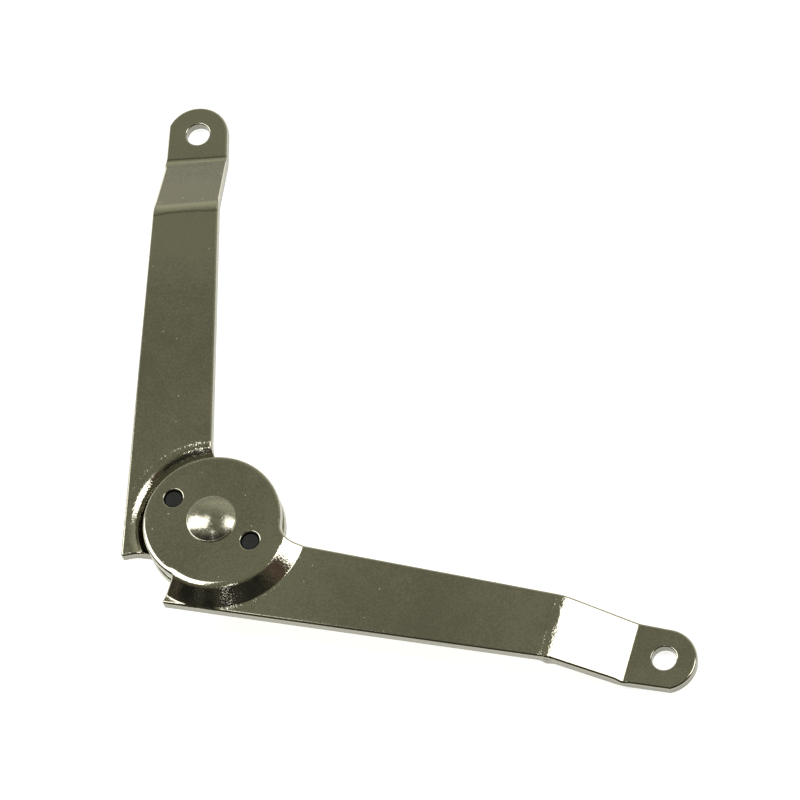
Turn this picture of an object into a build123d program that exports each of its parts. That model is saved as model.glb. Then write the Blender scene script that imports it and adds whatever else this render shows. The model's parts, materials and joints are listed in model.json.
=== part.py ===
from build123d import *
import os
from math import cos, radians, sin, sqrt, tan

# Friction lid stay: two cranked strip-steel arms that swing about one rivet.
# The part lies with its two screw tabs on the mounting plane, z = 0, and +Z points away
# from that plane. The origin is the case arm's screw hole at the underside of its tab,
# and +X runs along the case arm from the pivot towards that hole. Millimetres.

# ---- sheet and round ends --------------------------------------------------------------
SHEET = 1.75  # thickness of the strip steel
DISC_RADIUS = 11.5  # round end of each arm
JOGGLE = 1.8  # height by which a round end is pressed out of its strip
WELL_RADIUS = 10.6  # where the flat of a round end begins to turn
WELL_SLOPE = 28.5  # steepest slope of the pressed wall, degrees
WELL_BEND = 2.0  # bend radius of that wall at mid-sheet
WELL_LAND = 1.0  # width of the flat strip that is made with the wall

# ---- outline of the blank, measured along and across from the pivot ----------------------
INNER_EDGE = 0.69  # straight edge on the side where the arms fold together
OUTER_EDGE = 15.13  # tapered edge, at the pivot
TAPER = 3.04  # slant of the tapered edge, degrees
CASE_TAIL = (1.3, 11.7)  # tail end: its line's distance behind the pivot, and its slant
LID_TAIL = (2.9, 7.1)
TAB_ALONG = 77.05  # centre of the rounded tab end
TAB_ACROSS = 6.05
TAB_RADIUS = 5.36
CORNER = 0.3  # rounding of the outward corners
NOTCH = 3.0  # rounding where the inner edge meets the round end

# ---- crank and screw tab -----------------------------------------------------------------
CRANK_DROP = 5.95  # from the strip down to the tab
CRANK_START = 58.8  # pivot to the start of the first bend
CRANK_SLOPE = 27.0  # slope of the ramp, degrees
CRANK_BEND = 4.0  # bend radius at mid-sheet
HOLE_ALONG = 77.08  # pivot to screw hole
HOLE_ACROSS = 5.88
HOLE_RADIUS = 2.0  # clears a 3.5 mm screw

# ---- pivot -------------------------------------------------------------------------------
RUNNING_GAP = 0.05  # radial clearance on the shank
SHANK_RADIUS = 2.5
HEAD_RADIUS = 4.1
HEAD_HEIGHT = 1.35
HEAD_RIM = 0.25  # straight rim under the dome
CLINCH_RADIUS = 3.7
CLINCH_HEIGHT = 1.2
CLINCH_BEVEL = 0.5
CLINCH_DIMPLE = 1.4  # radius of the dimple left by the riveting punch
PEG_HOLE_RADIUS = 1.55
PEG_RADIUS = 1.45
PEG_CIRCLE = 7.75  # pivot to each peg
PEG_ANGLE = -18.1  # direction of the first peg from the case arm, degrees
PEG_SINK = 0.35  # peg tip below the upper face
PEG_BEVEL = 0.2
FRICTION_RADIUS = 10.2
SPRING_RADIUS = 6.2
SPRING_SHEET = 0.5
SPRING_CONE = 0.35
WASHER_RADIUS = 4.7
WASHER_SHEET = 0.6

# ---- stored pose and finish --------------------------------------------------------------
OPENING = 105.43  # angle between the inner edges of the two arms, degrees
EDGE_BREAK = 0.25  # broken edges of the stamped arms
HOLE_BREAK = 0.25  # broken edges of the holes
REACH = 10.0  # how far cutting profiles run past the sheet

# ---- derived places ----------------------------------------------------------------------
PIVOT = Vector(-HOLE_ALONG, HOLE_ACROSS, 0)
STRIP_MID = CRANK_DROP + SHEET / 2
UPPER_TOP = STRIP_MID + JOGGLE + SHEET / 2
UPPER_BOTTOM = UPPER_TOP - SHEET
LOWER_BOTTOM = STRIP_MID - JOGGLE - SHEET / 2
LOWER_TOP = LOWER_BOTTOM + SHEET
SPRING_BOTTOM = LOWER_BOTTOM - SPRING_SHEET - SPRING_CONE
WASHER_BOTTOM = SPRING_BOTTOM - WASHER_SHEET
PIVOT_HOLE = SHANK_RADIUS + RUNNING_GAP
BORES = (HOLE_RADIUS, PEG_HOLE_RADIUS)

WELL_TURN = WELL_BEND * tan(radians(WELL_SLOPE / 2))
WELL_KNEE = WELL_RADIUS + WELL_TURN
WELL_FOOT = WELL_KNEE + JOGGLE / tan(radians(WELL_SLOPE))
WELL_OUT = WELL_FOOT + WELL_TURN + WELL_LAND
CRANK_KNEE = CRANK_START + CRANK_BEND * tan(radians(CRANK_SLOPE / 2))
CRANK_FOOT = CRANK_KNEE + CRANK_DROP / tan(radians(CRANK_SLOPE))


def on_circle(start, direction, centre, radius):
    """Point where a ray that starts inside a circle leaves it."""
    offset = start - centre
    along = offset.dot(direction)
    return start + direction * (sqrt(along**2 - offset.dot(offset) + radius**2) - along)


def arm_frame(angle, flipped):
    """Frame of an arm at its pivot: x along it, the strip on its -y side, z out of the face
    towards which its round end is raised."""
    along = Vector(cos(radians(angle)), sin(radians(angle)), 0)
    outward = Vector(0, 0, -1 if flipped else 1)
    return Plane(origin=PIVOT + Vector(0, 0, STRIP_MID), x_dir=along, z_dir=outward)


def arm_blank(tail_back, tail_slant):
    """Flat outline that an arm is stamped from, with its pivot at the origin."""
    outer_way = Vector(cos(radians(TAPER)), sin(radians(TAPER)))
    outer_root = Vector(0, -OUTER_EDGE)
    tail_way = Vector(-sin(radians(tail_slant)), -cos(radians(tail_slant)))
    tab_centre = Vector(TAB_ALONG, -TAB_ACROSS)
    pivot = Vector(0, 0)
    notch = on_circle(Vector(0, -INNER_EDGE), Vector(1, 0), pivot, DISC_RADIUS)
    tail_top = on_circle(Vector(-tail_back, 0), tail_way, pivot, DISC_RADIUS)
    tab_corner = on_circle(outer_root + outer_way * TAB_ALONG, outer_way, tab_centre, TAB_RADIUS)
    with BuildSketch() as blank:
        with BuildLine():
            inner = Line(notch, (TAB_ALONG, -INNER_EDGE))
            ThreePointArc(inner @ 1, tab_centre + Vector(TAB_RADIUS, 0), tab_corner)
            outer_ray = Line(tab_corner, outer_root - outer_way * DISC_RADIUS, mode=Mode.PRIVATE)
            tail = IntersectingLine(tail_top, tail_way, outer_ray)
            Line(tab_corner, tail @ 1)
            ThreePointArc(tail_top, (0, DISC_RADIUS), notch)
        make_face()
        for corner in (tail_top, tail @ 1, tab_corner):
            fillet(blank.vertices().sort_by_distance(corner)[0], CORNER)
        fillet(blank.vertices().sort_by_distance(notch)[0], NOTCH)
    return blank.sketch


def pressed_arm(frame, tail, tab_level, pegs):
    """One arm: bent strip, dished round end, outline, broken edges and holes."""
    section = Plane(frame.origin, frame.x_dir, -frame.y_dir)
    with BuildPart() as arm:
        # the strip, bent down a ramp to its screw tab
        with BuildSketch(section):
            with BuildLine():
                FilletPolyline(
                    (-DISC_RADIUS, 0),
                    (CRANK_KNEE, 0),
                    (CRANK_FOOT, tab_level),
                    (HOLE_ALONG + REACH, tab_level),
                    radius=CRANK_BEND,
                )
            trace(line_width=SHEET)
        extrude(amount=OUTER_EDGE + REACH)
        # the round end, raised through a ring-shaped wall
        with BuildSketch(frame.offset(-SHEET)):
            Circle(WELL_OUT)
        extrude(amount=2 * SHEET, mode=Mode.SUBTRACT)
        with BuildSketch(section):
            with BuildLine():
                FilletPolyline(
                    (0, JOGGLE),
                    (WELL_KNEE, JOGGLE),
                    (WELL_FOOT, 0),
                    (WELL_OUT, 0),
                    radius=WELL_BEND,
                )
            trace(line_width=SHEET)
        revolve(axis=Axis(frame.origin, frame.z_dir))
        # everything trimmed to the blank
        with BuildSketch(frame.offset(-REACH)):
            add(arm_blank(*tail))
        extrude(amount=2 * REACH, mode=Mode.INTERSECT)
        # the outline's edges, broken on the upper side, where the die drew the sheet over
        walls = arm.faces().filter_by(lambda face: abs(face.normal_at().Z) < 0.01)
        upper = arm.faces().filter_by(lambda face: face.normal_at().Z > 0.5)
        chamfer([edge for edge in walls.edges() if edge in upper.edges()], EDGE_BREAK)
        # pivot hole, screw hole and peg holes
        with Locations(frame):
            Hole(PIVOT_HOLE)
        with Locations(frame * Pos(HOLE_ALONG, -HOLE_ACROSS)):
            Hole(HOLE_RADIUS)
        for angle in pegs:
            with Locations(frame * Rot(0, 0, angle) * Pos(PEG_CIRCLE, 0)):
                Hole(PEG_HOLE_RADIUS)
        bores = arm.faces().filter_by(GeomType.CYLINDER).filter_by(lambda face: face.radius in BORES)
        chamfer([bore.edges().sort_by(Axis.Z)[-1] for bore in bores], HOLE_BREAK)
    return arm.part


def pivot_plane(height):
    """Level plane across the pivot axis at a height above the mounting plane."""
    return Plane.XY.offset(height) * Pos(PIVOT.X, PIVOT.Y)


pivot_axis = Axis(PIVOT, (0, 0, 1))
pivot_section = Plane(PIVOT, x_dir=(1, 0, 0), z_dir=(0, -1, 0))

# ---- the two arms ------------------------------------------------------------------------
case_frame = arm_frame(0, flipped=False)
lid_frame = arm_frame(OPENING, flipped=True)
case_arm = pressed_arm(case_frame, CASE_TAIL, -CRANK_DROP, (PEG_ANGLE, PEG_ANGLE + 180))
lid_arm = pressed_arm(lid_frame, LID_TAIL, CRANK_DROP, ())

# ---- plastic friction disc, keyed to the case arm by two pegs ------------------------------
with BuildPart() as friction_disc:
    with BuildSketch(pivot_plane(LOWER_TOP)):
        Circle(FRICTION_RADIUS)
        Circle(PIVOT_HOLE, mode=Mode.SUBTRACT)
    extrude(amount=UPPER_BOTTOM - LOWER_TOP)
    with BuildSketch(pivot_plane(UPPER_BOTTOM)):
        with PolarLocations(PEG_CIRCLE, 2, start_angle=PEG_ANGLE):
            Circle(PEG_RADIUS)
    extrude(amount=SHEET - PEG_SINK)
    chamfer(friction_disc.faces().sort_by(Axis.Z)[-2:].edges(), PEG_BEVEL)

# ---- rivet: domed head, shank and clinched tail --------------------------------------------
CLINCH_BOTTOM = WASHER_BOTTOM - CLINCH_HEIGHT
with BuildPart() as pivot_rivet:
    with BuildSketch(pivot_section):
        with BuildLine():
            dome = TangentArc(
                (0, UPPER_TOP + HEAD_HEIGHT), (HEAD_RADIUS, UPPER_TOP + HEAD_RIM), tangent=(1, 0)
            )
            Polyline(
                dome @ 1,
                (HEAD_RADIUS, UPPER_TOP),
                (SHANK_RADIUS, UPPER_TOP),
                (SHANK_RADIUS, WASHER_BOTTOM),
                (CLINCH_RADIUS, WASHER_BOTTOM),
                (CLINCH_RADIUS, CLINCH_BOTTOM + CLINCH_BEVEL),
                (CLINCH_RADIUS - CLINCH_BEVEL, CLINCH_BOTTOM),
                (CLINCH_DIMPLE, CLINCH_BOTTOM),
                (0, CLINCH_BOTTOM + CLINCH_BEVEL),
                dome @ 0,
            )
        make_face()
    revolve(axis=pivot_axis)

# ---- conical spring washer that presses the round ends together ----------------------------
with BuildPart() as disc_spring:
    with BuildSketch(pivot_section):
        with BuildLine():
            Polyline(
                (PIVOT_HOLE, SPRING_BOTTOM),
                (SPRING_RADIUS, SPRING_BOTTOM + SPRING_CONE),
                (SPRING_RADIUS, LOWER_BOTTOM),
                (PIVOT_HOLE, LOWER_BOTTOM - SPRING_CONE),
                close=True,
            )
        make_face()
    revolve(axis=pivot_axis)

# ---- flat washer under the clinched tail ---------------------------------------------------
with BuildPart() as backing_washer:
    with BuildSketch(pivot_plane(WASHER_BOTTOM)):
        Circle(WASHER_RADIUS)
        Circle(PIVOT_HOLE, mode=Mode.SUBTRACT)
    extrude(amount=WASHER_SHEET)

pieces = {
    "case_arm": case_arm,
    "lid_arm": lid_arm,
    "friction_disc": friction_disc.part,
    "pivot_rivet": pivot_rivet.part,
    "disc_spring": disc_spring.part,
    "backing_washer": backing_washer.part,
}
os.makedirs("parts", exist_ok=True)
for name, piece in pieces.items():
    piece.label = name
    export_step(piece, f"parts/{name}.step")
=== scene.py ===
import json
from math import atan2, ceil, cos, degrees, pi, radians, sin, sqrt, tan

import bpy
import numpy as np
from mathutils import Matrix, Quaternion, Vector
from mathutils.geometry import delaunay_2d_cdt


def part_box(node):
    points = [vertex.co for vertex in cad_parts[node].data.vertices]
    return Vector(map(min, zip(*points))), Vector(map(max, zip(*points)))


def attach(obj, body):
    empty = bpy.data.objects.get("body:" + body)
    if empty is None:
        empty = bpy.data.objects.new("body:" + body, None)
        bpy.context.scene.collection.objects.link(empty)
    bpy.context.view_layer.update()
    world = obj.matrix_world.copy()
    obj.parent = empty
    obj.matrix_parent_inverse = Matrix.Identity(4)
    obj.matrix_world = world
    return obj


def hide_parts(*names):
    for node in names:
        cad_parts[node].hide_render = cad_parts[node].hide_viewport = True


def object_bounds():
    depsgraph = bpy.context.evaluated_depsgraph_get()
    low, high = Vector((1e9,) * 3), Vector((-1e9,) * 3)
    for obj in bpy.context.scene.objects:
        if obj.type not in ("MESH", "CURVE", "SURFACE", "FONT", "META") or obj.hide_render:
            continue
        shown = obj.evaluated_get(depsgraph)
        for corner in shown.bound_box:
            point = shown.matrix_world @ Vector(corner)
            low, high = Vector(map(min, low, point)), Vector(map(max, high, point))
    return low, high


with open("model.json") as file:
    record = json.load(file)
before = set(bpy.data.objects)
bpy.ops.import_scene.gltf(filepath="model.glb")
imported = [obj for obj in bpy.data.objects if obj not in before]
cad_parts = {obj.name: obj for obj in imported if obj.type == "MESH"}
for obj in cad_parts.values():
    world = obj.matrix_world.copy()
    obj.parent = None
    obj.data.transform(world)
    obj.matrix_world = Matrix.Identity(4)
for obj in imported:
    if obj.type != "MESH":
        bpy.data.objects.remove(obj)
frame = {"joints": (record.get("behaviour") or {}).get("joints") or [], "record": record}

cad_low, cad_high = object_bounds()
MM = 0.001  # forms are worked out in millimetres and turned into metres at the end

# ---- camera ----------------------------------------------------------------------------------
CAMERA_AIM = (-0.05295, 0.03359, 0.0077)
CAMERA_AZIMUTH = 34.015
CAMERA_ELEVATION = 61.307
CAMERA_ROLL = -20.43
CAMERA_DISTANCE = 0.84992
CAMERA_LENS = 233.57
CAMERA_CLIP = (0.01, 100.0)
SENSOR = 36.0

# ---- light: each soft box covers a range of directions as seen from the object, given by their
# x and y; a radiance of 1 is white -------------------------------------------------------------
LIGHT_DISTANCE = 2.0
POWER_PER_AREA = 4.0  # watts per square metre of a soft box, for a radiance of 1
LIGHTS = {
    "window_right": {"x_span": (0.29, 0.72), "y_span": (0.08, 0.46), "radiance": 2.0},
    "window_left": {"x_span": (-0.92, -0.28), "y_span": (-0.15, 0.24), "radiance": 2.0},
    "lamp_near": {"x_span": (-0.08, 0.03), "y_span": (-0.3, -0.22), "radiance": 2.4},
    "lamp_low": {"x_span": (0.01, 0.055), "y_span": (-0.52, -0.46), "radiance": 1.2},
}

# ---- room: its tones by direction; a pair tells where along that axis a tone sets in and where
# it is full ------------------------------------------------------------------------------------
CEILING = (0.19, 0.194, 0.146)
FAR_WALL = (0.43, 0.44, 0.35)
FAR_WALL_Y = (0.4, 0.85)
LOW_WALL = (0.30, 0.30, 0.26)
LOW_WALL_Z = (0.42, 0.2)
NEAR_WALL = (0.13, 0.132, 0.09)
NEAR_WALL_Y = (0.05, -0.2)
NEAR_DARK = (0.02, 0.02, 0.017)
NEAR_DARK_Y = (-0.3, -0.43)
NEAR_DARK_Z = (0.28, 0.42)
NEAR_DARK_SLANT = 0.8  # to the right its edge runs back by this much for each step in x
WARM_LEFT = (0.075, 0.05, 0.036)
WARM_LEFT_X = (-0.2, -0.35)
WARM_LEFT_Y = (-0.5, -0.4)
WARM_RIGHT = (0.08, 0.05, 0.038)
WARM_RIGHT_X = (0.3, 0.4)
WARM_RIGHT_Y = (-0.24, -0.1)
CLUTTER = (0.12, 0.118, 0.09)
CLUTTER_SIZE = 110.0  # against a room of one metre's radius
CLUTTER_SPAN = (0.42, 0.68)
CLUTTER_SHARE = 0.7

# ---- floor -----------------------------------------------------------------------------------
FLOOR_RADIUS = 30.0
FLOOR_DROP = 0.00003
FLOOR_STEP = radians(5.0)
FLOOR_COLOR = (0.86, 0.86, 0.86)
FLOOR_GLOW = 0.77


# ---- places taken from the frame -------------------------------------------------------------
def box_mm(node):
    """Lowest and highest corner of a CAD node, in millimetres."""
    low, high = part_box(node)
    return np.array(low) / MM, np.array(high) / MM


case_high = box_mm("case_arm")[1]
friction_low, friction_high = box_mm("friction_disc")
rivet_low, rivet_high = box_mm("pivot_rivet")
spring_low, spring_high = box_mm("disc_spring")
washer_low, washer_high = box_mm("backing_washer")
mounts = {mount["name"]: mount for mount in frame["record"]["mounts"]}
PIVOT = np.array(frame["joints"][0]["pos_m"][:2]) / MM
LID_HOLE = np.array(mounts["lid_screw_hole"]["pos_m"][:2]) / MM
HOLE_RADIUS = mounts["case_screw_hole"]["dims"]["r_mm"]
HOLE_ALONG, HOLE_ACROSS = -PIVOT[0], PIVOT[1]

LOWER_TOP = friction_low[2]
LOWER_BOTTOM = spring_high[2]
SHEET = LOWER_TOP - LOWER_BOTTOM
UPPER_TOP = case_high[2]
UPPER_BOTTOM = UPPER_TOP - SHEET
STRIP_MID = (UPPER_TOP + LOWER_BOTTOM) / 2
JOGGLE = (UPPER_TOP - LOWER_BOTTOM - SHEET) / 2
CRANK_DROP = STRIP_MID - SHEET / 2
DISC_RADIUS = case_high[1] - PIVOT[1]
HOLE_BEARING = atan2(HOLE_ACROSS, HOLE_ALONG)
OPENING = atan2(*(LID_HOLE - PIVOT)[::-1]) - HOLE_BEARING

# ---- form of a pressed arm, measured along and across from the pivot -------------------------
# the pressed wall, which leans a little into the strip: its centre, its slope, how far out it
# bends off the round end, and its bend radii at mid-sheet, at the round end and at the strip
CASE_WELL = (np.array((1.4, -0.48)), radians(29.0), 10.9, (2.1, 1.4))
LID_WELL = (np.array((1.4, -0.9)), radians(36.5), 10.65, (1.6, 2.8))
WELL_FADE = (radians(20.0), radians(45.0))  # bearings between which it runs out at the notch
WELL_STEP = radians(8.0)  # turn within which it stops at the tail
RIM_WIDTH = 0.95  # the free rim of a round end is rolled over a little
RIM_DEPTH = 0.13
INNER_EDGE = 0.69
OUTER_EDGE = 15.13
TAPER = radians(3.04)
CASE_TAIL = (1.3, radians(11.7))  # how far behind the pivot its edge's line passes, and slant
LID_TAIL = (2.9, radians(7.1))
TAB_CENTRE = np.array((77.05, -6.05))
TAB_RADIUS = 5.36
CORNER = 0.5
NOTCH = 3.0
CRANK_START = 58.8
CRANK_SLOPE = radians(27.0)
CRANK_BEND = 4.0
PIVOT_HOLE = 2.55
PEG_HOLE = 1.55
PEG_CIRCLE = 7.75
PEG_ANGLES = (radians(-18.1), radians(161.9))
TOP_ROLL = 0.45  # radius that the stamping die drew onto the upper edge of the outline
HOLE_ROLL = 0.25  # and onto the upper edges of the holes
UNDER_ROLL = 0.2
BULGE = 0.32  # metal squeezed out of the outer edge at the bends
BULGE_WIDTH = 0.75
BULGE_ACROSS = (8.0, 9.5)  # distances across between which an edge becomes the outer one
BULGE_LAST = 0.6  # size of the bulge at the second bend, against the first

CRANK_TURN = CRANK_BEND * tan(CRANK_SLOPE / 2)
CRANK_KNEE = CRANK_START + CRANK_TURN
CRANK_FOOT = CRANK_KNEE + CRANK_DROP / tan(CRANK_SLOPE)
CRANK_END = CRANK_FOOT + CRANK_TURN
BEYOND = 20.0  # how far profiles run past the outline

# ---- form of the turned pieces round the pivot -----------------------------------------------
RING_SOFT = 0.12
HEAD_RIM = 0.25
HEAD_SOFT = 0.22
SHANK_RADIUS = 2.5
CLINCH_RADIUS = 3.7
CLINCH_BEVEL = 0.5
CLINCH_DIMPLE = 1.4
PEG_RADIUS = 1.45
PEG_BEVEL = 0.22
FRICTION_RADIUS = (friction_high[0] - friction_low[0]) / 2
SPRING_RADIUS = (spring_high[0] - spring_low[0]) / 2
SPRING_SHEET = 0.5
WASHER_RADIUS = (washer_high[0] - washer_low[0]) / 2
RIVET_RADIUS = (rivet_high[0] - rivet_low[0]) / 2

# ---- mesh spacing ----------------------------------------------------------------------------
FINE = 0.01  # outlines are drawn this fine, and thinned once their corners are rounded
CORNER_REACH = 3.0  # a corner's rounding stays this near to it
EDGE_STEP = 0.3
FLAT_STEP = 0.9
ROW_STEP = 0.55
BEND_STEP = 0.16
BEND_MARGIN = 1.0  # close rows run on this far past a bend
WELL_MARGIN = 1.2
RING_START = 1.4  # rings of points on a round end, outwards from its middle
RING_STEP = 0.7
RING_TURN = radians(2.5)
GAP_RING, GAP_BEFORE, GAP_AFTER = 0.3, 0.4, 0.5  # left free beside close rows
ROWS_BACK = 8.0  # how far straight rows start inside the last ring
POINT_GAP = 0.16  # kept free beside an outline
BLOCK = 2000  # points that are compared with an outline at a time
SAME_POINT = 1e-7
ARC_STEP = radians(7.0)
HOLE_STEP = radians(4.0)
ROLL_ROWS = 5
WALL_ROWS = 3
SLOPE_STEP = 0.02
BEND_ROWS = 4  # points on the profile of a bend, for each degree that it turns
TURNED_STEPS = 160
SOFT_ROWS = 4
SOFT_SHARE = 0.45  # of a run, which the rounding at one of its ends may take
DOME_ROWS = 24
AXIS_RADIUS = 1e-3  # of a ring that lies on the axis

# ---- finish of the metal ---------------------------------------------------------------------
FINISH = ("drawn", "cut", "torn", "along")  # values that each point of a mesh carries
DRAWN_WALL = ((0.0, 1.2), (-0.2, 0.8))  # where stretching sets in and ends, from the wall's ends
DRAWN_BEND = ((-0.8, 0.4), (0.0, 2.0))  # and from the ends of the first bend
CUT_ONSET = 6  # how late a rolled edge takes on the look of the sheared wall
TORN_BELOW = 0.6  # share of a sheared wall's height that broke instead of being cut
NICKEL = (0.70, 0.668, 0.545)
NICKEL_DULL = (0.5, 0.477, 0.39)
NICKEL_CUT = (0.29, 0.285, 0.235)  # sheared walls, drawn darker than the faces
# tone of the thin darker lines drawn across the arms at the bending die's edges
NICKEL_LINE_TONE = (0.2, 0.18, 0.13)
NICKEL_CLOUDS = ((4.0, 2.0, 0.35), (24.0, 1.0, 0.7), (0.3, 3.0, 1.2))  # size, detail, weight
NICKEL_SPAN = (0.85, 1.4)
NICKEL_PAINTED_SHEEN = ((14, 32, -0.09), (38, 58, 0.24), (64, 68, -0.1))  # from, to, brighter by: painted reflection, the plating drawn brighter or darker along the arm in place of the changing reflection of its slightly bent strip
NICKEL_ROUGH = 0.055
NICKEL_HAZE = 0.04  # added to it in soft clouds
HAZE_SIZE = 3.0
HAZE_SPAN = (0.3, 0.75)
CUT_ROUGH = 0.08
TORN_ROUGH = 0.1
PEEL_SIZE = 0.34
PEEL_DEPTH = 0.03
PEEL_ON_FLATS = 0.07
LID_PEEL = 0.8  # peel at the first bend of an arm, against the peel of its pressed wall
CASE_PEEL = 1.8
PEEL_CHANGE = (40.0, 50.0)  # distances from the pivot between which that share sets in
PATCH_SIZE = 4.0  # the peel comes and goes in patches
PATCH_SPAN = (0.35, 0.6)
PATCH_LEAST = 0.3
PIT_SPACING = 2.6
PIT_SIZE = 0.16
PIT_DEPTH = 0.3  # of pinholes, against the peel
CUT_DEPTH = 0.25  # of the streaks on sheared walls
CUT_STREAK = 0.3
CUT_STRETCH = (1.0, 1.0, 0.12)
LID_SIDE_X = (-0.05, -0.06)  # x, in metres, that parts the arms' outer ends
# where thin lines across the arms are drawn in a darker tone
DARK_DIE_LINES = (  # distance from the pivot, half width, strength
    (CRANK_START - 0.2, 0.35, 0.7),
    (CRANK_FOOT - CRANK_TURN + 0.4, 0.25, 0.3),
    (CRANK_FOOT + 0.1, 0.2, 0.5),
    (CRANK_END + 0.1, 0.3, 0.9),
)
DIE_WAVER = 0.2  # how far the marks stray from a straight line
DIE_WAVER_SIZE = 7.0
DIE_ON_CASE, DIE_ON_LID = 0.12, 0.75
RIVET_ROUGH = (0.17, 0.24)
RIVET_DENT = 1.2
RIVET_DEPTH = 0.035
RIVET_PIT_SPACING = 1.4
RIVET_PIT_SIZE = 0.15
NOISE_SPAN = (0.3, 0.7)  # noise seldom leaves these limits
NOISE_ROUGHNESS = 0.55
MOTTLE_SIZE = 0.5  # of the clouds in a plain material's roughness
SPECK_CORE = 0.4  # share of a speck that has its full strength


# ---- form of an arm --------------------------------------------------------------------------
def unit(vector):
    return vector / np.linalg.norm(vector)


def bearing(point, centre):
    return atan2(point[1] - centre[1], point[0] - centre[0])


def smooth_step(value, start, end):
    share = np.clip((value - start) / (end - start), 0, 1)
    return share * share * (3 - 2 * share)


def bent_profile(knees, bends, offset):
    """Distance and height along one face of a strip whose middle line bends at knees."""
    knees = [np.array(knee, float) for knee in knees]
    ways = [unit(b - a) for a, b in zip(knees, knees[1:])]
    slopes = [atan2(way[1], way[0]) for way in ways]
    rows = []

    def put(point, slope):
        rows.append((point[0] - sin(slope) * offset, point[1] + cos(slope) * offset))

    put(knees[0], slopes[0])
    for knee, bend, way, before, after in zip(knees[1:], bends, ways, slopes, slopes[1:]):
        turn = after - before
        side = 1 if turn > 0 else -1
        start = knee - way * bend * tan(abs(turn) / 2)
        centre = start + side * bend * np.array((-sin(before), cos(before)))
        for slope in np.linspace(before, after, 2 + ceil(BEND_ROWS * degrees(abs(turn)))):
            put(centre + side * bend * np.array((sin(slope), -cos(slope))), slope)
    put(knees[-1], slopes[-1])
    return np.array(rows).T


class Well:
    """The pressed wall between a round end and its strip."""

    def __init__(self, centre, slope, knee, bends, root):
        self.centre, self.knee, self.bends = centre, knee, bends
        self.root = bearing(root, centre)
        self.start = knee - bends[0] * tan(slope / 2)
        self.foot = knee + JOGGLE / tan(slope)
        self.out = self.foot + bends[1] * tan(slope / 2)

    def reach(self, plan):
        return np.linalg.norm(plan - self.centre, axis=1)

    def share(self, plan):
        """1 where the round end is joined to its strip by the wall, 0 along its free rim."""
        away = plan - self.centre
        turn = np.arctan2(away[:, 1], away[:, 0])
        stops = smooth_step(turn, self.root - WELL_STEP, self.root)
        return stops * (1 - smooth_step(turn, *WELL_FADE))

    def stretch(self, plan):
        """How far the press stretched the upper face: 1 on the wall and at the first bend."""
        out, along = self.reach(plan), plan[:, 0]
        wall_in, wall_out = DRAWN_WALL
        wall = self.share(plan) * smooth_step(out - self.start, *wall_in)
        wall *= 1 - smooth_step(out - self.out, *wall_out)
        bend_in, bend_out = DRAWN_BEND
        bend = smooth_step(along - CRANK_START, *bend_in)
        bend *= 1 - smooth_step(along - CRANK_KNEE - CRANK_TURN, *bend_out)
        return np.maximum(wall, bend)


def arm_surface(raised, side, pressed):
    """Height and normal over the plan of one face of an arm: side is 1 on top, -1 below."""
    offset = side * SHEET / 2
    crank = [(-BEYOND, 0), (CRANK_KNEE, 0), (CRANK_FOOT, -CRANK_DROP)]
    crank.append((HOLE_ALONG + BEYOND, -CRANK_DROP))
    crank_at, crank_height = bent_profile(crank, (CRANK_BEND, CRANK_BEND), offset)
    well = [(0, raised), (pressed.knee, raised), (pressed.foot, 0), (HOLE_ALONG + BEYOND, 0)]
    well_at, well_height = bent_profile(well, pressed.bends, offset)
    rim_depth = RIM_DEPTH if side == 1 else 0

    def level(plan):
        fall = np.interp(pressed.reach(plan), well_at, well_height) - offset - raised
        over = (np.linalg.norm(plan, axis=1) - DISC_RADIUS) / RIM_WIDTH + 1
        rolled = rim_depth * np.clip(over, 0, 1) ** 2
        share = pressed.share(plan)
        bent = np.interp(plan[:, 0], crank_at, crank_height)
        return bent + raised + share * fall - (1 - share) * rolled

    def surface(plan):
        slopes = []
        for way in np.eye(2) * SLOPE_STEP:
            slopes.append((level(plan + way) - level(plan - way)) / (2 * SLOPE_STEP))
        normal = side * np.column_stack([-slopes[0], -slopes[1], np.ones(len(plan))])
        return level(plan), normal / np.linalg.norm(normal, axis=1)[:, None]

    return surface


# ---- outline of an arm -----------------------------------------------------------------------
def line(start, end):
    count = max(2, 1 + ceil(np.linalg.norm(np.subtract(end, start)) / FINE))
    return np.linspace(start, end, count)


def arc(centre, radius, start, end, step):
    count = max(3, 1 + ceil(abs(end - start) / step))
    angles = np.linspace(start, end, count)
    return np.array(centre) + radius * np.stack([np.cos(angles), np.sin(angles)], 1)


def on_circle(start, way, centre, radius):
    """Point where a ray that starts inside a circle leaves it."""
    offset = start - centre
    along = offset @ way
    return start + way * (sqrt(along**2 - offset @ offset + radius**2) - along)


def rounded(before, after, radius):
    """Two runs of points that meet in a corner, trimmed, with the arc that rounds it between."""
    way_in, way_out = unit(before[-1] - before[-2]), unit(after[1] - after[0])
    side = 1 if way_in[0] * way_out[1] > way_in[1] * way_out[0] else -1

    def shifted(run):
        tangent = np.gradient(run, axis=0)
        tangent /= np.linalg.norm(tangent, axis=1)[:, None]
        return run + side * radius * np.stack([-tangent[:, 1], tangent[:, 0]], 1)

    a, b = shifted(before), shifted(after)
    gaps = np.linalg.norm(a[:, None] - b[None], axis=2)
    i, j = np.unravel_index(gaps.argmin(), gaps.shape)
    centre = (a[i] + b[j]) / 2
    first, last = bearing(before[i], centre), bearing(after[j], centre)
    sweep = (side * (last - first)) % (2 * pi) * side
    return before[: i + 1], arc(centre, radius, first, first + sweep, ARC_STEP)[1:-1], after[j:]


def thinned(run):
    """The same run with its points about one edge step apart."""
    gone = np.concatenate([[0], np.cumsum(np.linalg.norm(np.diff(run, axis=0), axis=1))])
    at = np.linspace(0, gone[-1], max(2, 1 + ceil(gone[-1] / EDGE_STEP)))
    return np.stack([np.interp(at, gone, run[:, axis]) for axis in (0, 1)], 1)


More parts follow.
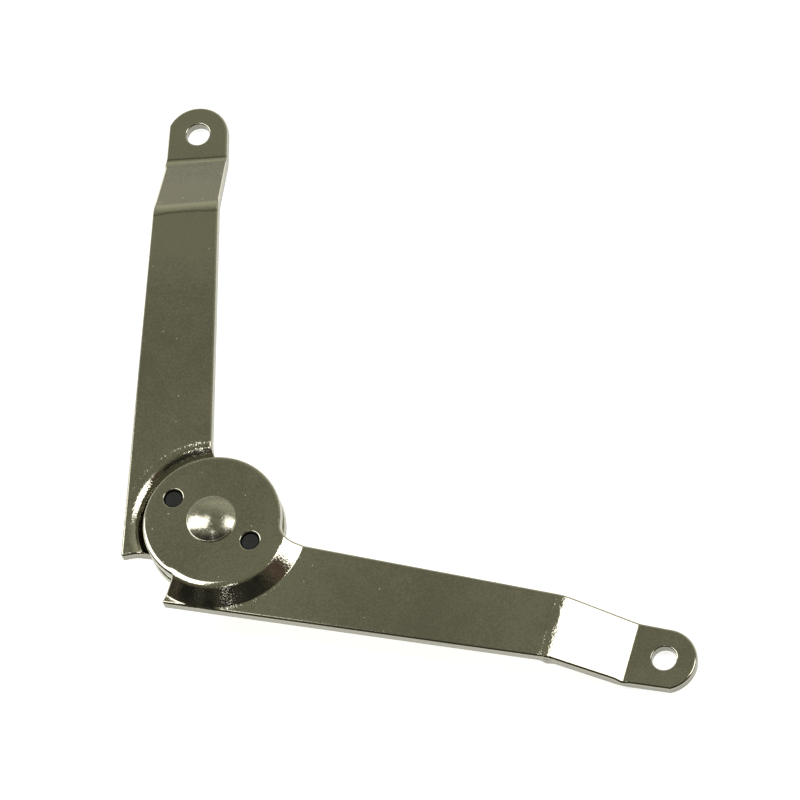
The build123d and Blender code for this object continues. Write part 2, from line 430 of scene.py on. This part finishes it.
def tail_root(tail_back, tail_slant):
    """Where the tail's edge leaves the round end, and its way from there."""
    tail_way = np.array((-sin(tail_slant), -cos(tail_slant)))
    return on_circle(np.array((-tail_back, 0)), tail_way, np.zeros(2), DISC_RADIUS), tail_way


def arm_runs(tail_back, tail_slant):
    """The runs of an arm's outline, clockwise: inner edge, tab, outer edge, tail, round end."""
    pivot = np.zeros(2)
    outer_way = np.array((cos(TAPER), sin(TAPER)))
    outer_root = np.array((0, -OUTER_EDGE))
    tail_top, tail_way = tail_root(tail_back, tail_slant)
    notch = on_circle(np.array((0, -INNER_EDGE)), np.array((1, 0)), pivot, DISC_RADIUS)
    ray_start = outer_root + outer_way * TAB_CENTRE[0]
    tab_corner = on_circle(ray_start, outer_way, TAB_CENTRE, TAB_RADIUS)
    reach = np.linalg.solve(np.stack([tail_way, -outer_way], 1), outer_root - tail_top)[0]
    tail_end = tail_top + tail_way * reach
    tab_end = bearing(tab_corner, TAB_CENTRE)
    disc_start, disc_end = bearing(tail_top, pivot) + 2 * pi, bearing(notch, pivot)
    return [
        line(notch, (TAB_CENTRE[0], -INNER_EDGE)),
        arc(TAB_CENTRE, TAB_RADIUS, pi / 2, tab_end, FINE / TAB_RADIUS),
        line(tab_corner, tail_end),
        line(tail_end, tail_top),
        arc(pivot, DISC_RADIUS, disc_start, disc_end, FINE / DISC_RADIUS),
    ]


def arm_outline(tail_back, tail_slant):
    """Plan outline of an arm, as one closed loop of points with the metal on its left."""
    runs, turns = arm_runs(tail_back, tail_slant), []
    window = int(CORNER_REACH / FINE)
    for index, radius in enumerate((CORNER, CORNER, CORNER, NOTCH), start=1):
        following = (index + 1) % len(runs)
        before, after = runs[index], runs[following]
        kept, turn, rest = rounded(before[-window:], after[:window], radius)
        runs[index] = np.concatenate([before[:-window], kept])
        runs[following] = np.concatenate([rest, after[window:]])
        turns.append(turn)
    pieces = [thinned(runs[0])[:-1], thinned(runs[1])]
    for run, turn in zip(runs[2:], turns):
        pieces += [turn, thinned(run)]
    return np.concatenate(pieces + [turns[-1]])[::-1]


def outward(loop):
    """Unit normals that point out of the metal along a closed loop with the metal on its left."""
    tangent = np.roll(loop, -1, 0) - np.roll(loop, 1, 0)
    tangent /= np.linalg.norm(tangent, axis=1)[:, None]
    return np.stack([tangent[:, 1], -tangent[:, 0]], 1)


# ---- filling of an arm's faces ---------------------------------------------------------------
def inside(points, loop):
    """Which points lie inside a closed loop."""
    a, b = loop, np.roll(loop, -1, 0)
    x, y = points[:, 0, None], points[:, 1, None]
    crosses = (a[:, 1] > y) != (b[:, 1] > y)
    rise = np.where(b[:, 1] == a[:, 1], 1, b[:, 1] - a[:, 1])
    left = x < (b[:, 0] - a[:, 0]) * (y - a[:, 1]) / rise + a[:, 0]
    return (crosses & left).sum(1) % 2 == 1


def in_metal(points, loops):
    """Which points lie inside the first loop and outside the others."""
    kept = inside(points, loops[0])
    for loop in loops[1:]:
        kept &= ~inside(points, loop)
    return kept


def away_from(points, loop):
    """Which points keep a gap to every point of a loop."""
    kept = np.ones(len(points), bool)
    for start in range(0, len(points), BLOCK):
        part = points[start : start + BLOCK]
        near = np.linalg.norm(part[:, None] - loop[None], axis=2).min(1)
        kept[start : start + BLOCK] = near > POINT_GAP
    return kept


def plan_points(pressed):
    """Points that fill an arm's plan, close together where its sheet bends."""
    wall = np.arange(pressed.start - BEND_MARGIN, pressed.out + WELL_MARGIN, BEND_STEP)
    rings = np.concatenate([np.arange(RING_START, wall[0] - GAP_RING, RING_STEP), wall])
    points = [arc(pressed.centre, ring, 0, 2 * pi, RING_TURN)[:-1] for ring in rings]
    first_end = CRANK_KNEE + CRANK_TURN + BEND_MARGIN
    first = np.arange(CRANK_START - BEND_MARGIN, first_end, BEND_STEP)
    second_start = CRANK_FOOT - CRANK_TURN - BEND_MARGIN
    second = np.arange(second_start, CRANK_END + BEND_MARGIN, BEND_STEP)
    along = [np.arange(rings[-1] - ROWS_BACK, first[0] - GAP_BEFORE, FLAT_STEP), first]
    along += [np.arange(first[-1] + GAP_AFTER, second[0] - GAP_BEFORE, FLAT_STEP), second]
    along += [np.arange(second[-1] + GAP_AFTER, HOLE_ALONG + TAB_RADIUS, FLAT_STEP)]
    x, y = np.meshgrid(np.concatenate(along), np.arange(-OUTER_EDGE, 0, ROW_STEP))
    grid = np.stack([x.ravel(), y.ravel()], 1)
    grid = grid[pressed.reach(grid) > rings[-1] + GAP_BEFORE]
    return np.concatenate(points + [grid])


def triangulated(loops, points):
    """Triangles that fill the first loop round the others. Returns all plan points, the loops'
    first, and the triangles."""
    sizes = np.cumsum([0] + [len(loop) for loop in loops])
    edges = []
    for start, end in zip(sizes, sizes[1:]):
        edges += [(i, i + 1) for i in range(start, end - 1)] + [(end - 1, start)]
    kept = points[in_metal(points, loops)]
    for loop in loops:
        kept = kept[away_from(kept, loop)]
    given = np.concatenate(loops + [kept])
    vectors = [Vector(point) for point in given]
    _, _, faces, sources, _, _ = delaunay_2d_cdt(vectors, edges, [], 0, SAME_POINT)
    source = np.array([min(group) if group else -1 for group in sources])
    if (source < 0).any():
        raise ValueError("the outline of an arm crosses itself")
    triangles = source[np.array([tuple(face) for face in faces])]
    triangles = triangles[in_metal(given[triangles].mean(1), loops)]
    a, b, c = given[triangles].transpose(1, 0, 2)
    turned = np.cross(b - a, c - a) < 0
    triangles[turned] = triangles[turned][:, ::-1]
    return given, triangles


# ---- meshes ----------------------------------------------------------------------------------
class Shell:
    """Points, normals, finish values and faces of one piece while it is put together."""

    def __init__(self):
        self.points, self.normals, self.finish, self.faces = [], [], [], []
        self.count = 0

    def add(self, points, normals, drawn=0.0, cut=0.0, torn=0.0):
        """Adds points and returns their numbers. drawn is how far the sheet was stretched there,
        cut is 1 on a sheared wall, and torn is 1 where that wall broke instead of being cut."""
        self.points.append(points)
        self.normals.append(normals)
        self.finish.append(np.column_stack(np.broadcast_arrays(drawn, cut, torn, points[:, 0])))
        self.count += len(points)
        return np.arange(self.count - len(points), self.count)

    def skirt(self, upper, lower):
        """Faces between two closed rings of equally many points, metal on their left."""
        around = np.roll(upper, -1), np.roll(lower, -1)
        self.faces += np.stack([upper, lower, around[1], around[0]], 1).tolist()

    def piece(self, name, along=(1.0, 0.0), across=(0.0, 1.0), origin=(0.0, 0.0, 0.0)):
        """The Blender object, whose plan axes and origin are given in the row frame."""
        axes = np.array([(*along, 0.0), (*across, 0.0), (0.0, 0.0, 1.0)])
        points = (np.concatenate(self.points) @ axes + np.array(origin)) * MM
        normals = np.concatenate(self.normals) @ axes
        finish = np.concatenate(self.finish)
        mesh = bpy.data.meshes.new(name)
        mesh.from_pydata(points.tolist(), [], self.faces)
        for column, label in enumerate(FINISH):
            layer = mesh.attributes.new(label, "FLOAT", "POINT")
            layer.data.foreach_set("value", finish[:, column].astype(np.float32))
        mesh.polygons.foreach_set("use_smooth", [True] * len(mesh.polygons))
        mesh.normals_split_custom_set_from_vertices(normals.tolist())
        mesh.update()
        piece = bpy.data.objects.new(name, mesh)
        bpy.context.scene.collection.objects.link(piece)
        return piece


def bulged(loop, normal, level):
    """A ring moved out where the bends squeeze metal from the outer edge: level is 1 on top."""

    def near(bend):
        return np.exp(-(((loop[:, 0] - bend) / BULGE_WIDTH) ** 2))

    outer = smooth_step(-loop[:, 1], *BULGE_ACROSS) * (loop[:, 0] > CRANK_START / 2)
    swell = near(CRANK_KNEE) * (1 - level) + near(CRANK_FOOT) * level * BULGE_LAST
    return loop + normal * (BULGE * outer * swell)[:, None]


def level_normals(loop):
    """The outward normals of a loop, as vectors in space."""
    return np.column_stack([outward(loop), np.zeros(len(loop))])


def add_roll(shell, loop, roll, side, surface, pressed, ring):
    """A rolled edge, from the ring round a face's flat part to the wall. Returns its last ring."""
    normal = outward(loop)
    edge = bulged(loop, normal, max(side, 0))
    for angle in np.linspace(0, pi / 2, ROLL_ROWS + 1)[1:]:
        plan = edge - normal * roll * (1 - sin(angle))
        height, up = surface(plan)
        points = np.column_stack([plan, height - side * roll * (1 - cos(angle))])
        facing = cos(angle) * up + sin(angle) * level_normals(loop)
        facing /= np.linalg.norm(facing, axis=1)[:, None]
        after = shell.add(points, facing, pressed.stretch(plan), sin(angle) ** CUT_ONSET)
        shell.skirt(*(ring, after)[::side])
        ring = after
    return ring


def add_face(shell, loops, side, surface, pressed, filling):
    """One face of an arm with its rolled edges. Returns the last ring of each edge."""
    rolls = [UNDER_ROLL] * len(loops)
    if side == 1:
        rolls = [TOP_ROLL] + [HOLE_ROLL] * (len(loops) - 1)
    insets = []
    for loop, roll in zip(loops, rolls):
        normal = outward(loop)
        insets.append(bulged(loop, normal, max(side, 0)) - normal * roll)
    plan, triangles = triangulated(insets, filling)
    height, normal = surface(plan)
    index = shell.add(np.column_stack([plan, height]), normal, pressed.stretch(plan))
    shell.faces += index[triangles[:, ::side]].tolist()
    rings, start = [], 0
    for loop, roll in zip(loops, rolls):
        flat_ring = index[start : start + len(loop)]
        rings.append(add_roll(shell, loop, roll, side, surface, pressed, flat_ring))
        start += len(loop)
    return rings


def add_wall(shell, loop, above, below):
    """The sheared wall between the rolled edges of the two faces, torn in its lower part."""
    heights = np.concatenate(shell.points)[:, 2]
    upper, lower = heights[above], heights[below]
    for share in np.linspace(1, 0, WALL_ROWS + 2)[1:-1]:
        plan = bulged(loop, outward(loop), share)
        row = np.column_stack([plan, upper * share + lower * (1 - share)])
        torn = 1.0 if share < TORN_BELOW else 0.0
        ring = shell.add(row, level_normals(loop), cut=1.0, torn=torn)
        shell.skirt(above, ring)
        above = ring
    shell.skirt(above, below)


def arm_piece(name, along, raised, well, tail, holes, mirrored=False):
    """One pressed arm, made on its own plan axes. A mirrored one is the blank turned over."""
    circles = [arc(centre, radius, 2 * pi, 0, HOLE_STEP)[:-1] for centre, radius in holes]
    loops = [arm_outline(*tail), *circles]
    pressed = Well(*well, tail_root(*tail)[0])
    filling = plan_points(pressed)
    shell = Shell()
    rings = []
    for side in (1, -1):
        surface = arm_surface(raised, side, pressed)
        rings.append(add_face(shell, loops, side, surface, pressed, filling))
    for loop, above, below in zip(loops, *rings):
        add_wall(shell, loop, above, below)
    if mirrored:
        shell.faces = [face[::-1] for face in shell.faces]
    across = np.array((-along[1], along[0])) * (-1 if mirrored else 1)
    return shell.piece(name, along, across, (*PIVOT, STRIP_MID))


# ---- turned pieces round the pivot -----------------------------------------------------------
def softened(corners, radius):
    """The points of a profile, with each corner between its two ends rounded."""
    corners = [np.array(corner, float) for corner in corners]
    points = [corners[0]]
    for before, corner, after in zip(corners, corners[1:], corners[2:]):
        way_in, way_out = unit(corner - before), unit(after - corner)
        turn = np.arccos(np.clip(way_in @ way_out, -1, 1))
        back = min(radius * tan(turn / 2), SOFT_SHARE * np.linalg.norm(corner - before))
        back = min(back, SOFT_SHARE * np.linalg.norm(after - corner))
        start, end = corner - way_in * back, corner + way_out * back
        for share in np.linspace(0, 1, SOFT_ROWS + 1):
            rest = 1 - share
            points.append(rest**2 * start + 2 * share * rest * corner + share**2 * end)
    points.append(corners[-1])
    return np.array(points)


def turned_shell(shell, profile, centre, closed=False):
    """Adds a surface of revolution: profile runs down its outside, from the axis or round."""
    tangent = np.gradient(profile, axis=0)
    if closed:
        tangent = np.roll(profile, -1, 0) - np.roll(profile, 1, 0)
    tangent /= np.maximum(np.linalg.norm(tangent, axis=1), 1e-9)[:, None]
    angles = np.linspace(0, 2 * pi, TURNED_STEPS, endpoint=False)
    ways = np.stack([np.cos(angles), np.sin(angles)], 1)
    rings = []
    for (out, height), (run, drop) in zip(profile, tangent):
        plan = centre + ways * max(out, AXIS_RADIUS)
        points = np.column_stack([plan, np.full(len(ways), height)])
        normals = np.column_stack([ways * -drop, np.full(len(ways), run)])
        rings.append(shell.add(points, normals))
    for above, below in zip(rings, rings[1:] + rings[:1] * closed):
        shell.skirt(above, below)


def ring_shell(outer, corners_in, corners_out):
    """A ring round the rivet's shank, from its heights inside and outside, top first."""
    top_in, low_in = corners_in
    top_out, low_out = corners_out
    middle_in = (PIVOT_HOLE, (top_in + low_in) / 2)
    around = [middle_in, (PIVOT_HOLE, top_in), (outer, top_out), (outer, low_out)]
    around += [(PIVOT_HOLE, low_in), middle_in]
    shell = Shell()
    turned_shell(shell, softened(around, RING_SOFT)[:-1], PIVOT, closed=True)
    return shell


def dome(radius, rise, top):
    """Profile of a spherical cap from its crown to its edge."""
    ball = (radius**2 + rise**2) / (2 * rise)
    out = radius * np.sin(np.linspace(0, pi / 2, DOME_ROWS))
    return np.column_stack([out, top - ball + np.sqrt(ball**2 - out**2)])


def rivet_piece():
    top, bottom = rivet_high[2], rivet_low[2]
    cap = dome(RIVET_RADIUS - HEAD_SOFT / 3, top - UPPER_TOP - HEAD_RIM, top)
    body = [
        cap[-2],
        (RIVET_RADIUS, UPPER_TOP + HEAD_RIM),
        (RIVET_RADIUS, UPPER_TOP),
        (SHANK_RADIUS, UPPER_TOP),
        (SHANK_RADIUS, washer_low[2]),
        (CLINCH_RADIUS, washer_low[2]),
        (CLINCH_RADIUS, bottom + CLINCH_BEVEL),
        (CLINCH_RADIUS - CLINCH_BEVEL, bottom),
        (CLINCH_DIMPLE, bottom),
        (0, bottom + CLINCH_BEVEL),
    ]
    shell = Shell()
    turned_shell(shell, np.concatenate([cap[:-2], softened(body, HEAD_SOFT)]), PIVOT)
    return shell.piece("rivet")


def friction_piece():
    heights = (UPPER_BOTTOM, LOWER_TOP)
    shell = ring_shell(FRICTION_RADIUS, heights, heights)
    tip = friction_high[2]
    peg = [(0, tip), (PEG_RADIUS, tip), (PEG_RADIUS, UPPER_BOTTOM), (0, UPPER_BOTTOM)]
    for angle in PEG_ANGLES:
        centre = PIVOT + PEG_CIRCLE * np.array((cos(angle), sin(angle)))
        turned_shell(shell, softened(peg, PEG_BEVEL), centre)
    return shell.piece("friction_ring")


def spring_piece():
    low = spring_low[2]
    inner, outer = (low + SPRING_SHEET, low), (LOWER_BOTTOM, LOWER_BOTTOM - SPRING_SHEET)
    return ring_shell(SPRING_RADIUS, inner, outer).piece("spring_washer")


def washer_piece():
    heights = (washer_high[2], washer_low[2])
    return ring_shell(WASHER_RADIUS, heights, heights).piece("flat_washer")


# ---- materials -------------------------------------------------------------------------------
class Graph:
    """A node tree that is written down one node at a time."""

    def __init__(self, tree):
        self.tree = tree
        tree.nodes.clear()

    def feed(self, socket, value):
        """Sets an input, or links it to another node's output."""
        if isinstance(value, bpy.types.NodeSocket):
            self.tree.links.new(value, socket)
        else:
            socket.default_value = value

    def node(self, kind, values=(), **settings):
        """A node with its settings, and its inputs by name or number set or linked."""
        made = self.tree.nodes.new(kind)
        for name, value in settings.items():
            setattr(made, name, value)
        for name, value in dict(values).items():
            self.feed(made.inputs[name], value)
        return made

    def math(self, operation, first, second=0.0, third=0.0):
        values = {0: first, 1: second, 2: third}
        return self.node("ShaderNodeMath", values, operation=operation).outputs[0]

    def total(self, values):
        """The sum of all values."""
        whole = values[0]
        for value in values[1:]:
            whole = self.math("ADD", whole, value)
        return whole

    def ramp(self, value, start, end, low=0.0, high=1.0):
        """value taken smoothly from low at start to high at end."""
        values = {"Value": value, "From Min": start, "From Max": end, "To Min": low, "To Max": high}
        made = self.node("ShaderNodeMapRange", values, interpolation_type="SMOOTHSTEP")
        return made.outputs["Result"]

    def blend(self, share, first, second):
        """A colour between two, each of them a socket or red, green and blue."""
        made = self.node("ShaderNodeMix", data_type="RGBA")
        self.feed(next(i for i in made.inputs if i.name == "Factor" and i.type == "VALUE"), share)
        for name, color in (("A", first), ("B", second)):
            if not isinstance(color, bpy.types.NodeSocket):
                color = (*color, 1.0)
            self.feed(next(i for i in made.inputs if i.name == name and i.type == "RGBA"), color)
        return next(o for o in made.outputs if o.type == "RGBA")

    def blend_value(self, share, first, second):
        gap = self.math("SUBTRACT", second, first)
        return self.math("MULTIPLY_ADD", share, gap, first)

    def attribute(self, name):
        return self.node("ShaderNodeAttribute", attribute_name=name).outputs["Fac"]

    def noise(self, place, size, detail=2.0, stretch=None):
        """Noise whose features are about size millimetres across."""
        if stretch:
            moved = {"Vector": place, "Scale": stretch}
            place = self.node("ShaderNodeMapping", moved).outputs["Vector"]
        values = {"Vector": place, "Scale": 1 / (size * MM), "Detail": detail}
        values["Roughness"] = NOISE_ROUGHNESS
        return self.node("ShaderNodeTexNoise", values).outputs["Fac"]

    def specks(self, place, spacing, size):
        """1 inside small round specks, about spacing millimetres apart."""
        values = {"Vector": place, "Scale": 1 / (spacing * MM), "Randomness": 1.0}
        cells = self.node("ShaderNodeTexVoronoi", values)
        return self.ramp(cells.outputs["Distance"], size / spacing, SPECK_CORE * size / spacing)


class Surface:
    """A material under way: its node graph, its shader and the place on the object."""

    def __init__(self, name, metallic):
        self.made = bpy.data.materials.new(name)
        self.made.use_nodes = True
        self.graph = Graph(self.made.node_tree)
        self.shader = self.graph.node("ShaderNodeBsdfPrincipled", {"Metallic": metallic})
        self.graph.node("ShaderNodeOutputMaterial", {"Surface": self.shader.outputs["BSDF"]})
        self.place = self.graph.node("ShaderNodeTexCoord").outputs["Object"]

    def finish(self, color, rough, height, depth):
        """The material with its colour, roughness, and bump from 0 to 1, depth millimetres deep."""
        bump = self.graph.node("ShaderNodeBump", {"Height": height, "Distance": depth * MM})
        values = {"Base Color": color, "Roughness": rough, "Normal": bump.outputs["Normal"]}
        for name, value in values.items():
            self.graph.feed(self.shader.inputs[name], value)
        return self.made


def nickel_tone(graph, place, painted_sheen=0.0):
    """Plating with a fine grain in wide soft clouds; the last argument moves it towards the
    brighter tone, as painted reflection.
    """
    tone = painted_sheen
    for size, detail, weight in NICKEL_CLOUDS:
        tone = graph.math("MULTIPLY_ADD", graph.noise(place, size, detail), weight, tone)
    return graph.blend(graph.ramp(tone, *NICKEL_SPAN), NICKEL_DULL, NICKEL)


def dark_die_lines(graph, place, along, lid_side):
    """Thin lines across an arm at the edges of the bending die, drawn in a darker tone."""
    waver = graph.noise(place, DIE_WAVER_SIZE, detail=1.0)
    at = graph.math("ADD", along, graph.ramp(waver, *NOISE_SPAN, -DIE_WAVER, DIE_WAVER))
    marks = []
    for mark, width, strength in DARK_DIE_LINES:
        away = graph.math("ABSOLUTE", graph.math("SUBTRACT", at, mark))
        marks.append(graph.ramp(away, width, 0.0, 0.0, strength))
    weight = graph.ramp(lid_side, 0.0, 1.0, DIE_ON_CASE, DIE_ON_LID)
    return graph.math("MULTIPLY", graph.total(marks), weight)


def plate_color(graph, place, along, cut, lid_side):
    """Tones of an arm's plating, with thin darker lines at the die's edges, painted reflection
    steps along the arm, and its darker sheared walls.
    """
    marks = dark_die_lines(graph, place, along, lid_side)
    # painted reflection: tone steps along the arm that stand in for the changing reflection of the
    # strip
    painted_sheen_steps = [graph.ramp(along, start, end, 0.0, painted_sheen) for start, end, painted_sheen in NICKEL_PAINTED_SHEEN]
    tone = nickel_tone(graph, place, graph.total(painted_sheen_steps))
    return graph.blend(cut, graph.blend(marks, tone, NICKEL_LINE_TONE), NICKEL_CUT)


def plate_relief(graph, place, along, cut, drawn, lid_side):
    """Orange peel where the sheet was stretched, pinholes, and streaks on sheared walls."""
    patches = graph.noise(place, PATCH_SIZE, detail=1.0)
    patches = graph.ramp(patches, *PATCH_SPAN, PATCH_LEAST, 1.0)
    at_bend = graph.ramp(lid_side, 1.0, 0.0, LID_PEEL, CASE_PEEL)
    coarse = graph.blend_value(graph.ramp(along, *PEEL_CHANGE), 1.0, at_bend)
    amount = graph.math("MULTIPLY", graph.ramp(drawn, 0.0, 1.0, PEEL_ON_FLATS, 1.0), patches)
    amount = graph.math("MULTIPLY", amount, coarse)
    peel = graph.math("MULTIPLY", graph.noise(place, PEEL_SIZE, detail=1.5), amount)
    pits = graph.math("MULTIPLY", graph.specks(place, PIT_SPACING, PIT_SIZE), PIT_DEPTH)
    streaks = graph.noise(place, CUT_STREAK, stretch=CUT_STRETCH)
    walls = graph.math("MULTIPLY", streaks, graph.math("MULTIPLY", cut, CUT_DEPTH))
    return graph.math("ADD", graph.math("SUBTRACT", peel, pits), walls)


def nickel_plate():
    """Bright nickel over stamped steel."""
    surface = Surface("nickel_plate", 1.0)
    graph, place = surface.graph, surface.place
    drawn, cut, torn, along = (graph.attribute(name) for name in FINISH)
    parts = graph.node("ShaderNodeSeparateXYZ", {"Vector": place})
    lid_side = graph.ramp(parts.outputs["X"], *LID_SIDE_X)
    color = plate_color(graph, place, along, cut, lid_side)
    haze = graph.noise(place, HAZE_SIZE)
    rough = graph.ramp(haze, *HAZE_SPAN, NICKEL_ROUGH, NICKEL_ROUGH + NICKEL_HAZE)
    rough = graph.math("MULTIPLY_ADD", cut, CUT_ROUGH, rough)
    rough = graph.math("MULTIPLY_ADD", torn, TORN_ROUGH, rough)
    relief = plate_relief(graph, place, along, cut, drawn, lid_side)
    return surface.finish(color, rough, relief, PEEL_DEPTH)


def nickel_rivet():
    """The same plating on a headed rivet, with the soft dents of the riveting tool."""
    surface = Surface("nickel_rivet", 1.0)
    graph, place = surface.graph, surface.place
    dents = graph.noise(place, RIVET_DENT)
    rough = graph.ramp(dents, *NOISE_SPAN, *RIVET_ROUGH)
    pits = graph.specks(place, RIVET_PIT_SPACING, RIVET_PIT_SIZE)
    height = graph.math("SUBTRACT", dents, graph.math("MULTIPLY", pits, PIT_DEPTH))
    return surface.finish(nickel_tone(graph, place), rough, height, RIVET_DEPTH)


def mottled(name, metallic, tones, tone_size, rough, rough_detail, grain_size, grain_depth):
    """A plain material whose tone, roughness and grain all vary a little."""
    surface = Surface(name, metallic)
    graph, place = surface.graph, surface.place
    color = graph.blend(graph.noise(place, tone_size), *tones)
    clouds = graph.noise(place, MOTTLE_SIZE, rough_detail)
    grain = graph.noise(place, grain_size, detail=3.0)
    return surface.finish(color, graph.ramp(clouds, *NOISE_SPAN, *rough), grain, grain_depth)


def black_nylon():
    """Moulded nylon, satin."""
    return mottled(
        "black_nylon",
        metallic=0.0,
        tones=((0.006, 0.006, 0.006), (0.014, 0.014, 0.015)),
        tone_size=0.8,
        rough=(0.42, 0.6),
        rough_detail=2.0,
        grain_size=0.16,
        grain_depth=0.012,
    )


def spring_steel():
    """Hardened steel, lightly oiled."""
    return mottled(
        "spring_steel",
        metallic=1.0,
        tones=((0.36, 0.35, 0.33), (0.5, 0.48, 0.45)),
        tone_size=1.6,
        rough=(0.28, 0.42),
        rough_detail=3.0,
        grain_size=0.12,
        grain_depth=0.008,
    )


# ---- surroundings ----------------------------------------------------------------------------
def floor_material():
    made = bpy.data.materials.new("floor")
    made.use_nodes = True
    graph = Graph(made.node_tree)
    path = graph.node("ShaderNodeLightPath").outputs
    seen = graph.math("MAXIMUM", path["Is Camera Ray"], path["Is Glossy Ray"])
    seen = graph.math("MAXIMUM", seen, path["Is Transmission Ray"])
    glow = graph.node("ShaderNodeEmission", {"Strength": graph.math("MULTIPLY", seen, FLOOR_GLOW)})
    matte = graph.node("ShaderNodeBsdfDiffuse", {"Color": (*FLOOR_COLOR, 1.0)})
    both = graph.node("ShaderNodeAddShader", {0: glow.outputs[0], 1: matte.outputs[0]})
    graph.node("ShaderNodeOutputMaterial", {"Surface": both.outputs[0]})
    return made


def make_floor():
    """A white table far wider than the view. It glows only to rays that show it, so it reads as
    white there and still takes the object's shadow."""
    ring = arc((0, 0), FLOOR_RADIUS, 0, 2 * pi, FLOOR_STEP)[:-1]
    mesh = bpy.data.meshes.new("floor")
    points = [(x, y, cad_low[2] - FLOOR_DROP) for x, y in ring]
    mesh.from_pydata(points, [], [list(range(len(points)))])
    mesh.materials.append(floor_material())
    floor = bpy.data.objects.new("floor", mesh)
    bpy.context.scene.collection.objects.link(floor)


def make_world():
    """A studio by direction: grey ceiling, lighter far wall, dark near side above the camera."""
    world = bpy.data.worlds.new("studio")
    world.use_nodes = True
    graph = Graph(world.node_tree)
    way = graph.node("ShaderNodeTexCoord").outputs["Generated"]
    x, y, z = graph.node("ShaderNodeSeparateXYZ", {"Vector": way}).outputs

    def corner(x_limits, y_limits):
        return graph.math("MULTIPLY", graph.ramp(x, *x_limits), graph.ramp(y, *y_limits))

    tone = graph.blend(graph.ramp(y, *FAR_WALL_Y), CEILING, FAR_WALL)
    tone = graph.blend(graph.ramp(z, *LOW_WALL_Z), tone, LOW_WALL)
    tone = graph.blend(graph.ramp(y, *NEAR_WALL_Y), tone, NEAR_WALL)
    dark = graph.blend(corner(WARM_LEFT_X, WARM_LEFT_Y), NEAR_DARK, WARM_LEFT)
    dark = graph.blend(corner(WARM_RIGHT_X, WARM_RIGHT_Y), dark, WARM_RIGHT)
    clutter = graph.noise(way, CLUTTER_SIZE)
    clutter = graph.ramp(clutter, *CLUTTER_SPAN, 0.0, CLUTTER_SHARE)
    dark = graph.blend(clutter, dark, CLUTTER)
    aside = graph.math("MULTIPLY", graph.math("MAXIMUM", x, 0.0), NEAR_DARK_SLANT)
    near = graph.ramp(graph.math("SUBTRACT", y, aside), *NEAR_DARK_Y)
    near = graph.math("MULTIPLY", near, graph.ramp(z, *NEAR_DARK_Z))
    tone = graph.blend(near, tone, dark)
    background = graph.node("ShaderNodeBackground", {"Color": tone})
    graph.node("ShaderNodeOutputWorld", {"Surface": background.outputs[0]})
    bpy.context.scene.world = world


def make_light(name, x_span, y_span, radiance):
    """A soft box that covers a range of directions as seen from the object."""
    corners = [(x_span[i], y_span[j]) for i, j in ((0, 0), (1, 0), (1, 1), (0, 1))]
    ways = np.array([(x, y, sqrt(1 - x * x - y * y)) for x, y in corners]) * LIGHT_DISTANCE
    right = (ways[1] - ways[0] + ways[2] - ways[3]) / 2
    up = (ways[3] - ways[0] + ways[2] - ways[1]) / 2
    away = unit(np.cross(right, up))
    lamp = bpy.data.lights.new(name, "AREA")
    lamp.shape = "RECTANGLE"
    lamp.size, lamp.size_y = np.linalg.norm(right), np.linalg.norm(up)
    lamp.energy = radiance * POWER_PER_AREA * lamp.size * lamp.size_y
    light = bpy.data.objects.new(name, lamp)
    axes = np.column_stack([unit(right), np.cross(away, unit(right)), away])
    light.rotation_mode = "QUATERNION"
    light.rotation_quaternion = Matrix(axes.tolist()).to_quaternion()
    light.location = Vector(CAMERA_AIM) + Vector(ways.mean(0))
    bpy.context.scene.collection.objects.link(light)


def make_camera():
    azimuth, elevation = radians(CAMERA_AZIMUTH), radians(CAMERA_ELEVATION)
    level = cos(elevation)
    back = Vector((sin(azimuth) * level, -cos(azimuth) * level, sin(elevation)))
    lens = bpy.data.cameras.new("camera")
    lens.lens, lens.sensor_width = CAMERA_LENS, SENSOR
    lens.clip_start, lens.clip_end = CAMERA_CLIP
    camera = bpy.data.objects.new("camera", lens)
    camera.location = Vector(CAMERA_AIM) + back * CAMERA_DISTANCE
    camera.rotation_mode = "QUATERNION"
    roll = Quaternion((0, 0, 1), radians(CAMERA_ROLL))
    camera.rotation_quaternion = (-back).to_track_quat("-Z", "Y") @ roll
    bpy.context.scene.collection.objects.link(camera)
    bpy.context.scene.camera = camera


# ---- the scene -------------------------------------------------------------------------------
def dress(piece, node, body, material):
    """A finished piece that stands for a CAD node."""
    piece.data.materials.append(material)
    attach(piece, body)
    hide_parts(node)


make_camera()
make_world()
make_floor()
for name, light in LIGHTS.items():
    make_light(name, **light)

screw_hole = ((HOLE_ALONG, -HOLE_ACROSS), HOLE_RADIUS)
pivot_hole = ((0.0, 0.0), PIVOT_HOLE)
peg_holes = [
    ((PEG_CIRCLE * cos(angle), PEG_CIRCLE * sin(angle)), PEG_HOLE) for angle in PEG_ANGLES
]
case_way = np.array((1.0, 0.0))
lid_way = np.array((cos(OPENING), sin(OPENING)))
case_holes = [screw_hole, pivot_hole, *peg_holes]
case_piece = arm_piece("upper_arm", case_way, JOGGLE, CASE_WELL, CASE_TAIL, case_holes)
lid_holes = [screw_hole, pivot_hole]
lid_piece = arm_piece(
    "lower_arm", lid_way, -JOGGLE, LID_WELL, LID_TAIL, lid_holes, mirrored=True
)

plate, rivet_plate = nickel_plate(), nickel_rivet()
dress(case_piece, "case_arm", "case_side", plate)
dress(lid_piece, "lid_arm", "lid_side", plate)
dress(rivet_piece(), "pivot_rivet", "case_side", rivet_plate)
dress(friction_piece(), "friction_disc", "case_side", black_nylon())
dress(spring_piece(), "disc_spring", "case_side", spring_steel())
dress(washer_piece(), "backing_washer", "case_side", rivet_plate)

bpy.context.scene.view_settings.view_transform = "Standard"
